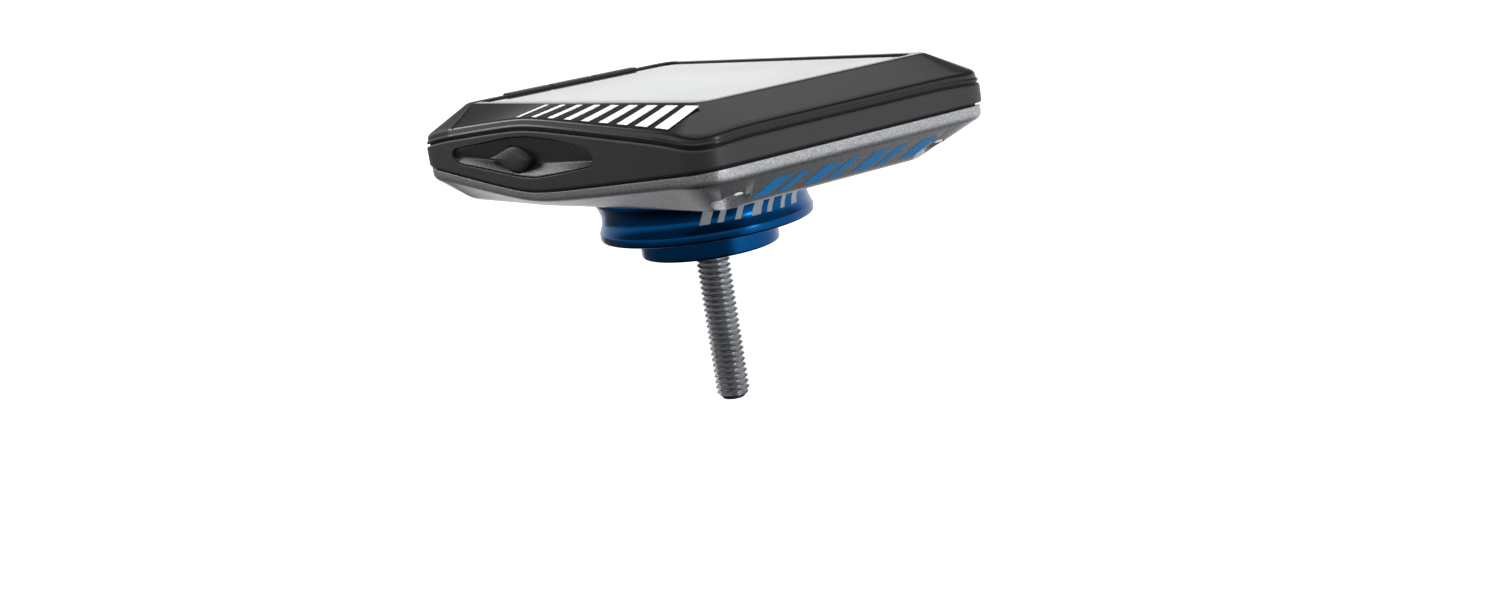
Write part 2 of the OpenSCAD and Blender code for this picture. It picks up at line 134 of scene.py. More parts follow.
SIDE_STEPS, END_STEPS, CORNER_STEPS = 72, 32, 18

# Edges that turn by more degrees than this stay sharp
SHARP = 35


def loop(x, y0, y1, r, z, power=2):
    """Rounded rectangle round the case, with the same count of points whatever its size.

    z is a height or a function of x and y. A power above 2 tightens the middle of the corners."""
    points = []

    def line(a, b, n):
        points.extend(np.array(a) + (np.array(b) - np.array(a)) * i / n for i in range(n))

    def arc(cx, cy, start):
        for i in range(CORNER_STEPS):
            a = math.radians(start + 90 * i / CORNER_STEPS)
            c, d = math.cos(a), math.sin(a)
            reach = r / (abs(c) ** power + abs(d) ** power) ** (1 / power)
            points.append(np.array([cx + reach * c, cy + reach * d]))

    line((x, y0 + r), (x, y1 - r), SIDE_STEPS)
    arc(x - r, y1 - r, 0)
    line((x - r, y1), (-x + r, y1), END_STEPS)
    arc(-x + r, y1 - r, 90)
    line((-x, y1 - r), (-x, y0 + r), SIDE_STEPS)
    arc(-x + r, y0 + r, 180)
    line((-x + r, y0), (x - r, y0), END_STEPS)
    arc(x - r, y0 + r, 270)
    plan = np.array(points)
    height = z(plan[:, 0], plan[:, 1]) if callable(z) else np.full(len(plan), float(z))
    return np.c_[plan[:, 0], plan[:, 1] + CASE_Y, height]


def outline(inset, z):
    """Outline of the case, drawn in by inset."""
    return loop(HALF_W - inset, -HALF_L + inset, HALF_L - inset, CORNER_R - inset, z, CORNER_POWER)


def lens_outline(grow, r, z):
    """Outline of the lens, let out by grow."""
    return loop(LENS_X + grow, LENS_Y[0] - grow, LENS_Y[1] + grow, r, z)


def circle(r, z, count, x=0, y=0):
    """Ring of points about (x, y). r is one radius, or one for each point."""
    turn = np.linspace(0, 2 * math.pi, count, endpoint=False)
    return np.c_[x + r * np.cos(turn), y + r * np.sin(turn), np.full(count, z)]


def round_edges(loops, radii, closed):
    """The loops with a smooth bend in place of each edge. radii holds one size for each loop."""
    steps = 5
    out = []
    n = len(loops)
    for k, p in enumerate(loops):
        ends = not closed and k in (0, n - 1)
        if ends or radii[k] == 0:
            out.append(p)
            continue
        start, end = (bend_point(p, loops[j % n], radii[k]) for j in (k - 1, k + 1))
        for i in range(steps + 1):
            t = i / steps
            out.append((1 - t) ** 2 * start + 2 * t * (1 - t) * p + t * t * end)
    return out


def bend_point(p, other, reach):
    """Where the bend at p meets the line to its neighbour: at most just short of half way."""
    d = other - p
    length = np.maximum(np.linalg.norm(d, axis=1, keepdims=True), 1e-6)
    return p + d / length * np.minimum(reach, 0.45 * length)


def new_object(name, vertices, faces, angle=SHARP):
    mesh = bpy.data.meshes.new(name)
    mesh.from_pydata([tuple(v) for v in np.asarray(vertices) * MM], [], faces)
    obj = bpy.data.objects.new(name, mesh)
    scene.collection.objects.link(obj)
    tidy(obj, angle)
    return obj


def tidy(obj, angle=SHARP):
    """Welds, turns the faces outward, and shades smooth except across edges sharper than angle."""
    mesh = bmesh.new()
    mesh.from_mesh(obj.data)
    bmesh.ops.remove_doubles(mesh, verts=mesh.verts, dist=1e-7)
    bmesh.ops.dissolve_degenerate(mesh, edges=mesh.edges, dist=1e-7)
    bmesh.ops.recalc_face_normals(mesh, faces=mesh.faces)
    for face in mesh.faces:
        face.smooth = True
    for edge in mesh.edges:
        edge.smooth = len(edge.link_faces) == 2 and edge.calc_face_angle(4) < math.radians(angle)
    mesh.to_mesh(obj.data)
    mesh.free()


def loft(name, rings, closed=False, caps=False, angle=SHARP):
    """Surface through rings of equal point count.

    closed joins the last ring to the first, and caps fills both ends."""
    n = len(rings[0])
    faces = []
    for k in range(len(rings) if closed else len(rings) - 1):
        a, b = k * n, (k + 1) % len(rings) * n
        faces.extend((a + i, a + (i + 1) % n, b + (i + 1) % n, b + i) for i in range(n))
    if caps:
        faces.append(tuple(range(n)))
        faces.append(tuple((len(rings) - 1) * n + i for i in range(n)))
    return new_object(name, np.concatenate(rings), faces, angle)


def round_profile(points, reaches):
    """An open (radius, z) profile with its corners rounded."""
    loops = [np.array([[p[0], p[1], 0.0]]) for p in points]
    return [(q[0][0], q[0][1]) for q in round_edges(loops, reaches, closed=False)]


def grid_solid(name, front, back, angle=SHARP):
    """Closed solid between two grids of points with the same rows and columns."""
    rows, columns = len(front), len(front[0])
    vertices = [p for layer in (back, front) for row in layer for p in row]
    faces = []
    for layer in (0, rows * columns):
        corner = [layer + i * columns + j for i in range(rows - 1) for j in range(columns - 1)]
        faces.extend((c, c + columns, c + columns + 1, c + 1) for c in corner)
    last = (rows - 1) * columns
    edge = list(range(0, last, columns)) + list(range(last, last + columns))
    edge += list(range(last - 1, 0, -columns)) + list(range(columns - 2, 0, -1))
    over = rows * columns
    faces.extend((a, b, over + b, over + a) for a, b in zip(edge, edge[1:] + edge[:1]))
    return new_object(name, vertices, faces, angle)


def evaluated(obj):
    graph = bpy.context.evaluated_depsgraph_get()
    return bpy.data.meshes.new_from_object(obj.evaluated_get(graph))


def boolean(obj, cutters, angle=SHARP):
    """Cuts each cutter out of the object, and removes the cutter."""
    for cutter in cutters:
        modifier = obj.modifiers.new("cut", "BOOLEAN")
        modifier.operation = "DIFFERENCE"
        modifier.solver = "EXACT"
        modifier.object = cutter
        obj.data = evaluated(obj)
        obj.modifiers.clear()
        bpy.data.objects.remove(cutter)
    tidy(obj, angle)


def block(name, low, high):
    (x0, y0, z0), (x1, y1, z1) = low, high
    corners = [(x, y, z) for x in (x0, x1) for y in (y0, y1) for z in (z0, z1)]
    faces = [(0, 1, 3, 2), (4, 6, 7, 5), (0, 4, 5, 1), (2, 3, 7, 6), (0, 2, 6, 4), (1, 5, 7, 3)]
    return new_object(name, corners, faces)


def prism(name, shapes, across):
    """Solid through [y, z] outlines of equal count, at the X values in across."""
    rings = [np.c_[np.full(len(s), x), np.array(s)[:, 0] + CASE_Y, np.array(s)[:, 1]]
             for s, x in zip(shapes, across)]
    return loft(name, rings, caps=True)


def cylinder(name, x, y, z0, z1, r, r_top=None):
    """Round cutter from z0 to z1, tapered where r_top is given."""
    segments = 64
    low = circle(r, z0, segments, x, y)
    high = circle(r if r_top is None else r_top, z1, segments, x, y)
    return loft(name, [low, high], caps=True)


# ---- materials ----

# Sockets of a Mix node: its share, its two numbers, its two colours, and the result of each kind
MIX_SHARE, NUMBER_A, NUMBER_B, COLOUR_A, COLOUR_B = 0, 2, 3, 6, 7
NUMBER_OUT, COLOUR_OUT = 0, 2


def nodes_of(material):
    material.use_nodes = True
    tree = material.node_tree
    return tree, tree.nodes["Principled BSDF"]


def noise(tree, scale, detail=3.0, stretch=None):
    """Noise in the object's own metres; scale is patches per metre."""
    place = tree.nodes.new("ShaderNodeTexCoord")
    node = tree.nodes.new("ShaderNodeTexNoise")
    node.inputs["Scale"].default_value = scale
    node.inputs["Detail"].default_value = detail
    out = place.outputs["Object"]
    if stretch is not None:
        mapping = tree.nodes.new("ShaderNodeMapping")
        mapping.inputs["Scale"].default_value = stretch
        tree.links.new(out, mapping.inputs["Vector"])
        out = mapping.outputs["Vector"]
    tree.links.new(out, node.inputs["Vector"])
    return node


def ramp(tree, source, low, high, start=0.3, end=0.7):
    """Runs from low to high while source runs from start to end."""
    node = tree.nodes.new("ShaderNodeMapRange")
    node.inputs["From Min"].default_value = start
    node.inputs["From Max"].default_value = end
    node.inputs["To Min"].default_value = low
    node.inputs["To Max"].default_value = high
    tree.links.new(source, node.inputs["Value"])
    return node.outputs["Result"]


def tint(tree, source, dark, light):
    node = tree.nodes.new("ShaderNodeMix")
    node.data_type = "RGBA"
    node.inputs[COLOUR_A].default_value = (*dark, 1)
    node.inputs[COLOUR_B].default_value = (*light, 1)
    tree.links.new(source, node.inputs[MIX_SHARE])
    return node.outputs[COLOUR_OUT]


def bump(tree, source, shader, depth):
    """Relief of the given depth, in millimetres."""
    node = tree.nodes.new("ShaderNodeBump")
    node.inputs["Strength"].default_value = 1.0
    node.inputs["Distance"].default_value = depth * MM
    tree.links.new(source, node.inputs["Height"])
    tree.links.new(node.outputs["Normal"], shader.inputs["Normal"])


def cloudy(tree, scale, detail, dark, light):
    """Colour that drifts between two tones; scale is patches per metre."""
    cloud = noise(tree, scale, detail)
    return tint(tree, ramp(tree, cloud.outputs["Fac"], 0, 1), dark, light)


def plain(name, colour, rough, spread=0.12, metallic=0.0, grain=2600, depth=0.004, coat=0.0):
    """Moulded or coated surface: faint cloudy colour, uneven roughness and a fine grain."""
    material = bpy.data.materials.new(name)
    tree, shader = nodes_of(material)
    shader.inputs["Metallic"].default_value = metallic
    shader.inputs["IOR"].default_value = 1.46
    shader.inputs["Coat Weight"].default_value = coat
    shader.inputs["Coat Roughness"].default_value = 0.06
    dark = [c * (1 - spread) for c in colour]
    light = [min(1, c * (1 + spread)) for c in colour]
    tree.links.new(cloudy(tree, 90, 4, dark, light), shader.inputs["Base Color"])
    fine = noise(tree, grain, 2)
    tree.links.new(ramp(tree, fine.outputs["Fac"], rough * 0.85, rough * 1.15), shader.inputs["Roughness"])
    bump(tree, fine.outputs["Fac"], shader, depth)
    return material


def flake_paint(name, base, sparkle, rough):
    """Metallic paint: small flakes of uneven brightness under a thin satin coat."""
    material = plain(name, base, rough, spread=0.06, metallic=0.8, grain=3000, depth=0.003, coat=0.25)
    tree, shader = nodes_of(material)
    place = tree.nodes.new("ShaderNodeTexCoord")
    flakes = tree.nodes.new("ShaderNodeTexVoronoi")
    flakes.inputs["Scale"].default_value = 7500
    tree.links.new(place.outputs["Object"], flakes.inputs["Vector"])
    split = tree.nodes.new("ShaderNodeSeparateColor")
    tree.links.new(flakes.outputs["Color"], split.inputs["Color"])
    mixed = tint(tree, ramp(tree, split.outputs["Red"], 0, 1, 0.35, 0.95), base, sparkle)
    tree.links.new(mixed, shader.inputs["Base Color"])
    return material


RIDER_TEXTURE_Y = -34.9


def add_rider_texture(material):
    """The rider end of the front housing, up to the creases, is moulded rougher than the rest."""
    tree, shader = nodes_of(material)
    place = tree.nodes.new("ShaderNodeTexCoord")
    split = tree.nodes.new("ShaderNodeSeparateXYZ")
    tree.links.new(place.outputs["Object"], split.inputs["Vector"])
    mask = ramp(tree, split.outputs["Y"], 1, 0, RIDER_TEXTURE_Y * MM, (RIDER_TEXTURE_Y + 0.8) * MM)
    colour = shader.inputs["Base Color"].links[0].from_socket
    mixed = tree.nodes.new("ShaderNodeMix")
    mixed.data_type = "RGBA"
    mixed.inputs[COLOUR_B].default_value = (0.011, 0.012, 0.013, 1)
    tree.links.new(mask, mixed.inputs[MIX_SHARE])
    tree.links.new(colour, mixed.inputs[COLOUR_A])
    tree.links.new(mixed.outputs[COLOUR_OUT], shader.inputs["Base Color"])
    rough = shader.inputs["Roughness"].links[0].from_socket
    blend = tree.nodes.new("ShaderNodeMix")
    blend.inputs[NUMBER_B].default_value = 0.5
    tree.links.new(mask, blend.inputs[MIX_SHARE])
    tree.links.new(rough, blend.inputs[NUMBER_A])
    tree.links.new(blend.outputs[NUMBER_OUT], shader.inputs["Roughness"])
    return material


def turned_metal(name, colour, rough):
    """Metal with fine turning lines around Z."""
    material = bpy.data.materials.new(name)
    tree, shader = nodes_of(material)
    shader.inputs["Metallic"].default_value = 1.0
    lines = noise(tree, 1.0, 2, stretch=(40, 40, 9000))
    dark = [c * 0.88 for c in colour]
    light = [min(1, c * 1.12) for c in colour]
    tree.links.new(cloudy(tree, 120, 3, dark, light), shader.inputs["Base Color"])
    tree.links.new(ramp(tree, lines.outputs["Fac"], rough * 0.8, rough * 1.25), shader.inputs["Roughness"])
    bump(tree, lines.outputs["Fac"], shader, 0.0015)
    return material


def clear_glass(name):
    material = bpy.data.materials.new(name)
    tree, shader = nodes_of(material)
    shader.inputs["Base Color"].default_value = (0.93, 0.96, 0.97, 1)
    shader.inputs["Transmission Weight"].default_value = 1.0
    shader.inputs["IOR"].default_value = 1.52
    smear = noise(tree, 60, 3)
    tree.links.new(ramp(tree, smear.outputs["Fac"], 0.015, 0.05), shader.inputs["Roughness"])
    return material


MATERIAL = {
    "front_black": plain("black_gloss_plastic", (0.006, 0.007, 0.008), 0.17, grain=1800, depth=0.0002),
    "band_grey": plain("band_satin_plastic", (0.04, 0.041, 0.044), 0.4, grain=2400, depth=0.005),
    "rear_grey": flake_paint("rear_metallic_paint", (0.34, 0.35, 0.37), (0.6, 0.61, 0.63), 0.32),
    "blue_anodised": turned_metal("blue_anodised_metal", (0.003, 0.07, 0.22), 0.22),
    "bolt_steel": turned_metal("bolt_steel_metal", (0.5, 0.51, 0.53), 0.3),
    "screw_steel": turned_metal("screw_steel_metal", (0.62, 0.63, 0.65), 0.28),
    "shield_steel": plain("tinned_shield", (0.66, 0.67, 0.68), 0.35, metallic=0.9, depth=0.002),
    "black_nylon": plain("black_nylon_plastic", (0.022, 0.023, 0.025), 0.5, depth=0.01),
    "seal_rubber": plain("seal_rubber_matt", (0.01, 0.01, 0.011), 0.65, depth=0.008),
    "side_rubber": plain("side_button_rubber", (0.026, 0.029, 0.032), 0.28, grain=2200, depth=0.0005),
    "flap_rubber": plain("flap_rubber_matt", (0.022, 0.023, 0.025), 0.6, depth=0.01),
    "key_plastic": plain("key_satin_plastic", (0.03, 0.031, 0.034), 0.36, depth=0.005),
    "lens_glass": clear_glass("lens_clear_glass"),
    "lcd_glass": plain("lcd_reflective", (0.22, 0.25, 0.245), 0.35, spread=0.03, depth=0.0005),
    "black_foam": plain("black_adhesive_foam", (0.012, 0.012, 0.012), 0.8, depth=0.02),
    "white_plastic": plain("white_moulding", (0.75, 0.75, 0.72), 0.5),
    "white_film": plain("white_membrane", (0.8, 0.8, 0.8), 0.7, depth=0.01),
    "amber_flex": plain("amber_film", (0.5, 0.22, 0.05), 0.35),
    "light_pipe": plain("frosted_light_pipe", (0.72, 0.76, 0.78), 0.45),
    "led_white": plain("led_package", (0.85, 0.83, 0.6), 0.3),
    "board_green": plain("solder_mask", (0.02, 0.13, 0.06), 0.4, spread=0.2),
    "ceramic": plain("ceramic_body", (0.6, 0.5, 0.34), 0.5),
    "battery_foil": plain("battery_wrap", (0.1, 0.18, 0.36), 0.35, depth=0.01),
    "lead_insulation": plain("lead_sleeve", (0.4, 0.04, 0.04), 0.4),
    "dome_brass": plain("dome_metal", (0.7, 0.54, 0.26), 0.3, metallic=0.95, depth=0.002),
}
add_rider_texture(MATERIAL["front_black"])
white_print = plain("white_print", (0.95, 0.95, 0.95), 0.42, spread=0.03, depth=0.001)
blue_print = plain("blue_print", (0.0, 0.37, 0.95), 0.4, spread=0.05, depth=0.001)
etched_print = plain("etched_print", (0.5, 0.56, 0.62), 0.45, spread=0.05, depth=0.001)
# Lighter grey of the crease line: a painted highlight along the crease's edge
crease_highlight_paint = plain("crease_edge", (0.06, 0.062, 0.066), 0.35, spread=0.1, depth=0.001)
black_print = plain("black_print", (0.008, 0.008, 0.009), 0.25, spread=0.05, depth=0.0005)


replaced = set()


def dress(obj, body, slot, material=None, replaces=()):
    """Gives a piece its material and its body, and says which CAD nodes it stands for."""
    obj.data.materials.clear()
    obj.data.materials.append(material or MATERIAL[slot])
    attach(obj, body)
    if replaces:
        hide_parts(*replaces)
        replaced.update(replaces)
    return obj


def keep_flats(obj):
    """Lets the large flat faces set the shading at their rounded edges."""
    modifier = obj.modifiers.new("flats", "WEIGHTED_NORMAL")
    modifier.keep_sharp = True
    modifier.weight = 80


# ---- camera ----

VIEW_AZIMUTH, VIEW_ELEVATION, VIEW_ROLL = 145.41, 12.14, 8.70
LENS_MM = 43.17
CAMERA_PLACE = Vector((0.16906, 0.25451, 0.05183))


def make_camera():
    a, e, roll = (math.radians(v) for v in (VIEW_AZIMUTH, VIEW_ELEVATION, VIEW_ROLL))
    back = Vector((math.sin(a) * math.cos(e), -math.cos(a) * math.cos(e), math.sin(e)))
    right = Vector((math.cos(a), math.sin(a), 0))
    up = back.cross(right)
    right, up = (right * math.cos(roll) - up * math.sin(roll), right * math.sin(roll) + up * math.cos(roll))
    data = bpy.data.cameras.new("camera")
    data.lens = LENS_MM
    data.sensor_width = 36
    data.clip_start = 0.01
    data.clip_end = 30
    camera = bpy.data.objects.new("camera", data)
    scene.collection.objects.link(camera)
    turn = Matrix((right, up, back)).transposed()
    camera.matrix_world = Matrix.Translation(CAMERA_PLACE) @ turn.to_4x4()
    scene.camera = camera


make_camera()


# ---- front housing ----

def slope_bottom(x, y):
    return seam_front(x, y) + SEAL_T


# Opening for the three front buttons at the rider end: half its width, and its two ends in y
KEY_SLOT_X, KEY_SLOT_Y = 14.05, (-41.15, -34.95)
LENS_GAP, POCKET_R = 0.1, 2.5


def make_front_housing():
    """Bezel over the four slopes and the flat face, with the lens pocket, the window and the ceiling."""
    roof = Z_LEDGE - 1.0
    rings = round_edges([
        outline(RIM, slope_bottom),
        outline(FRONT_INSET, slope_bottom),
        outline(FRONT_INSET, lambda x, y: slope_bottom(x, y) + 0.45),
        outline(FRONT_INSET + 0.22, lambda x, y: slope_bottom(x, y) + 0.62),
        outline(FRONT_INSET + 0.3, lambda x, y: slope_bottom(x, y) + FRONT_LIP),
        loop(FLAT_X, *FLAT_Y, 2.5, Z_FACE),
        lens_outline(LENS_GAP, POCKET_R, Z_FACE),
        lens_outline(LENS_GAP, POCKET_R, Z_LEDGE),
        loop(*WINDOW, 0.8, Z_LEDGE),
        loop(*WINDOW, 0.8, roof),
        loop(FLAT_X + 1, FLAT_Y[0] - 2, FLAT_Y[1] + 1.3, 4, roof),
    ], [0.1, 0.2, 0.12, 0.1, 0.9, 0.5, 0.12, 0.05, 0.05, 0.05, 0.3], closed=True)
    shell = loft("bezel_shell", rings, closed=True)
    rider_end, front_end = (CASE_Y + y for y in KEY_SLOT_Y)
    slot = block("slot", (-KEY_SLOT_X, rider_end, 15), (KEY_SLOT_X, front_end, 40))
    boolean(shell, [slot])
    keep_flats(shell)
    return dress(shell, "computer", "front_black", replaces=["front_housing"])


# ---- band ----

# Zoom recess as (y, z) with its outward direction
BOAT = [
    ((-32.4, 16.9), (-1, 0)), ((-31.0, 15.7), (-0.5, -0.9)), ((-19.4, 14.8), (-0.1, -1)),
    ((-8.9, 14.0), (0, -1)), ((-3.8, 13.9), (0.1, -1)), ((4.5, 14.9), (0.15, -1)),
    ((14.8, 16.3), (0.6, -0.8)), ((16.1, 17.8), (1, 0)), ((15.2, 19.2), (0.8, 0.6)),
    ((4.3, 20.4), (0.15, 1)), ((-4.3, 20.8), (0.05, 1)), ((-11.0, 20.5), (-0.1, 1)),
    ((-31.1, 18.2), (-0.6, 0.8)),
]
BAND_T = 2.2

# Where the zoom up button ends and the zoom down button starts
SPLIT = -11.4
NUB_CENTRE = (-10.7, 16.8)
KEY_GAP, KEY_SUNK, KEY_BACK = 0.12, 0.12, 2.95

# Bottom line of the trough in the recess: y of its three points, then z
VALLEY = ((-32.4, SPLIT, 16.1), (16.85, 15.8, 17.1))


def smooth_closed(points):
    """A closed outline with each corner bent round."""
    per_edge, reach = 8, 1.2
    points = np.array(points, float)
    out = []
    for k, p in enumerate(points):
        start, end = (p + (q - p) / np.linalg.norm(q - p) * min(reach, 0.45 * np.linalg.norm(q - p))
                      for q in (points[k - 1], points[(k + 1) % len(points)]))
        for i in range(per_edge + 1):
            t = i / per_edge
            out.append((1 - t) ** 2 * start + 2 * t * (1 - t) * p + t * t * end)
    return np.array(out)


def boat_outline(grow):
    """Edge of the zoom recess, let out by grow."""
    return smooth_closed([np.array(p) + grow * np.array(d) for p, d in BOAT])


def make_band():
    """The band, with the flared openings of the zoom recess and the power button, and the port."""
    rings = round_edges([
        outline(BAND_T, seam_rear),
        outline(0, seam_rear),
        outline(0, seam_front),
        outline(BAND_T, seam_front),
    ], [0.1, 0.4, 0.4, 0.1], closed=True)
    ring = loft("band_shell", rings, closed=True)
    flare = [(-5, 0), (-0.4, 0), (-0.16, 0.04), (-0.04, 0.12), (0.1, 0.3)]
    across = [HALF_W + out for out, _ in flare]
    boat = prism("boat", [boat_outline(grow) for _, grow in flare], across)
    power = prism("pill", [pill_outline(grow) for _, grow in flare], [-x for x in across])
    boolean(ring, [boat, power, *port_cutters()])
    keep_flats(ring)
    return dress(ring, "computer", "band_grey", replaces=["mid_frame"])


def port_cutters():
    """The shallow seat of the rubber flap, and the hole behind it for the plug."""
    end = CASE_Y - HALF_L
    seat = block("port", (-7.15, end - 1, 12.45), (7.15, end + 1.55, 17.45))
    hole = block("inner", (-4.8, end - 1, 13.5), (4.8, end + 6, 16.75))
    return [seat, hole]


def pill_outline(grow):
    """Edge of the power button's opening."""
    y0, y1, z, r, steps = -14.2, -1.8, 16.6, 2.1, 14
    out = []
    for centre, start in ((y1 - r, -90), (y0 + r, 90)):
        for i in range(steps + 1):
            a = math.radians(start + 180 * i / steps)
            out.append((centre + (r + grow) * math.cos(a), z + (r + grow) * math.sin(a)))
    return np.array(out)


def nub_outline(grow=0.0):
    """Almond with its long point towards the rider."""
    y0, y1, z, half = -21.0, -5.4, NUB_CENTRE[1], 2.25
    t = np.linspace(0, 1, 41)
    rise = half * np.sin(math.pi * t ** 1.9) ** 0.85 * (1 + grow / half)
    y = y0 - grow + (y1 - y0 + 2 * grow) * t
    upper = np.c_[y, z + rise]
    lower = np.c_[y, z - rise][::-1][1:-1]
    return np.concatenate([upper, lower])


def make_nub():
    """Domed almond between the zoom buttons, as a scale of its outline at each depth."""
    centre = np.array(NUB_CENTRE)
    shape = nub_outline()
    dome = [(1.0, 2.6), (1.0, 0.95), (0.96, 0.72), (0.86, 0.52), (0.7, 0.38), (0.45, 0.3), (0.15, 0.27)]
    nub = prism("band_nub", [centre + (shape - centre) * s for s, _ in dome], [HALF_W - d for _, d in dome])
    keep_flats(nub)
    return dress(nub, "computer", "band_grey")


def make_zoom_key(name, node, tip, depth_tip, depth_split):
    """Half of the recess: a vee-shaped trough, deepest beside the nub, that is pressed to zoom."""
    rim = boat_outline(-KEY_GAP)
    order = np.argsort(rim[:, 0])
    low_tip, high_tip = rim[order[0]], rim[order[-1]]
    across = np.cross(high_tip - low_tip, rim - low_tip)
    sides = []
    for sign in (-1, 1):
        chain = rim[sign * across >= 0]
        sides.append(chain[np.argsort(chain[:, 0])])

    split = SPLIT + math.copysign(0.08, tip - SPLIT)
    front, back = [], []
    for s in np.linspace(0, 1, 49):
        y = tip + (split - tip) * s
        depth = depth_tip + (depth_split - depth_tip) * s ** 0.8
        valley = np.interp(y, *VALLEY)
        row = []
        for t in np.linspace(-1, 1, 33):
            chain = sides[1 if t > 0 else 0]
            edge = np.interp(y, chain[:, 0], chain[:, 1])
            fall = 1 - math.sqrt(t * t + 0.004) + 0.063
            rise = max(0.0, abs(t) - 0.93) / 0.07
            row.append((HALF_W - KEY_SUNK - depth * max(fall, 0) - 0.1 * rise ** 2, y + CASE_Y,
                        valley + abs(t) * (edge - valley)))
        front.append(row)
        back.append([(HALF_W - KEY_BACK, p[1], p[2]) for p in row])
    key = grid_solid(name, front, back, angle=60)
    nub = nub_outline(0.1)
    boolean(key, [prism("nub_hole", [nub, nub], [HALF_W - 6, HALF_W + 2])], angle=60)
    return dress(key, node, "side_rubber", replaces=[node + "_button"])


def make_front_seal():
    section = [(2, seam_front), (0.6, seam_front), (0.6, slope_bottom), (2, slope_bottom)]
    rings = [outline(inset, z) for inset, z in section]
    seal = loft("front_seal_ring", rings, closed=True)
    return dress(seal, "computer", "seal_rubber", replaces=["front_seal"])


# ---- rear housing ----

# The underside is drawn in from the case's outline, and narrows in front of SOLE_TAPER_Y
SOLE_SIDE, SOLE_END, SOLE_TAPER, SOLE_TAPER_Y = 3.5, 8.6, 4.5, -10
REAR_WALL, LIP_INSET = 1.7, 0.25
SCREW_X, SCREW_Y = 20, 39
VENT_Y, VENT_R = -30.5, 0.6
FOOT_R, TAB_R, TAB_HALF_ANGLE = 12.4, 14.6, 28


def lip_top(x, y):
    return seam_rear(x, y) - SEAL_T


def lip_bottom(x, y):
    return lip_top(x, y) - rear_lip(y)


def circle_round(like, r, z):
    """Circle about the twist axis whose points lie in the same directions as the given ring's."""
    angle = np.arctan2(like[:, 1], like[:, 0])
    return np.c_[r * np.cos(angle), r * np.sin(angle), np.full(len(like), z)]


def sole(x_in, y_in, r, z):
    """Edge of the underside, which narrows towards the front of the case."""
    ring = loop(HALF_W - x_in, -HALF_L + y_in, HALF_L - y_in, r, z)
    share = np.clip((ring[:, 1] - CASE_Y - SOLE_TAPER_Y) / (HALF_L - y_in - SOLE_TAPER_Y), 0, 1)
    ring[:, 0] *= 1 - SOLE_TAPER / (HALF_W - x_in) * share
    return ring


def make_rear_housing():
    floor = sole(4.7, 9.8, 3, Z_UNDER + REAR_WALL)
    under = sole(SOLE_SIDE, SOLE_END, 4, Z_UNDER)
    rings = round_edges([
        circle_round(floor, 0.5, Z_UNDER + REAR_WALL),
        floor,
        outline(RIM, lip_top),
        outline(LIP_INSET, lip_top),
        outline(LIP_INSET, lip_bottom),
        under,
        circle_round(under, FOOT_R, Z_UNDER),
        circle_round(under, FOOT_R, Z_FOOT),
        circle_round(under, 7, Z_FOOT),
        circle_round(under, 7, Z_FOOT + 1.2),
        circle_round(under, 0.5, Z_FOOT + 1.2),
    ], [0, 0.3, 0.1, 0.1, 0.9, 1.8, 0.4, 0.3, 0.2, 0.1, 0], closed=False)
    shell = loft("back_shell", rings, caps=True)
    cutters = []
    for x in (-SCREW_X, SCREW_X):
        for y in (CASE_Y - SCREW_Y, CASE_Y + SCREW_Y):
            cutters.append(cylinder("scoop", x, y, 2, 10.6, 3.5, r_top=3.1))
            cutters.append(cylinder("bore", x, y, 2, 12.4, 2.2))
    cutters.append(cylinder("vent", 0, CASE_Y + VENT_Y, 5, 12, VENT_R))
    boolean(shell, cutters + port_cutters())
    keep_flats(shell)
    return dress(shell, "computer", "rear_grey", replaces=["rear_housing"])


def make_foot_tabs():
    """The two locking tabs on the twist foot."""
    half = math.radians(TAB_HALF_ANGLE)
    turn = np.linspace(-half, half, 24)
    for k in (0, 1):
        arcs = ((FOOT_R - 0.5, turn), (TAB_R, turn[::-1]))
        flat = [(r * math.cos(a), r * math.sin(a)) for r, arc in arcs for a in arc]
        side = 1 - 2 * k
        rings = [np.array([(side * x, side * y, z) for x, y in flat]) for z in (Z_FOOT, Z_FOOT + 1.5)]
        tab = loft(f"foot_tab_{k + 1}", rings, caps=True)
        dress(tab, "computer", "rear_grey")


# ---- bracket ----

CAP_R = 18.5
WAIST_LOW, WAIST_H, WAIST_DEPTH = 1.4, CAP_H - 2.2, 0.75


def waist_radius(share):
    """Radius of the bracket's hollowed rim, at a share of the hollow's height."""
    return CAP_R + 0.1 * share - WAIST_DEPTH * math.sin(math.pi * share)


def make_cap():
    """Turned cap: the bore for the bolt, the lower step, the hollowed rim and the cup for the insert."""
    steps, around = 24, 192
    bore_r, seat_r, seat_z = 3.3, 5.6, -1.0
    step_r, step_z = 12, -4
    cup_r, cup_z, lip_r = 15.5, 2.6, CAP_R + 0.1
    waist = [(waist_radius(i / steps), WAIST_LOW + WAIST_H * i / steps) for i in range(1, steps)]
    lower = round_profile(
        [(seat_r, seat_z), (bore_r, seat_z), (bore_r, step_z), (step_r, step_z), (step_r, 0),
         (CAP_R, 0), (CAP_R, WAIST_LOW)],
        [0, 0.1, 0.3, 0.5, 0.1, 0.6, 0])
    upper = round_profile(
        [(lip_r, CAP_H - 0.8), (lip_r, CAP_H), (cup_r, CAP_H), (cup_r, cup_z), (seat_r, cup_z),
         (seat_r, seat_z)],
        [0, 0.45, 0.15, 0.1, 0.1, 0])
    rings = [circle(r, z, around) for r, z in lower + waist + upper[:-1]]
    cap = loft("bracket_cap", rings, closed=True)
    keep_flats(cap)
    return dress(cap, "mount", "blue_anodised", replaces=["top_cap"])


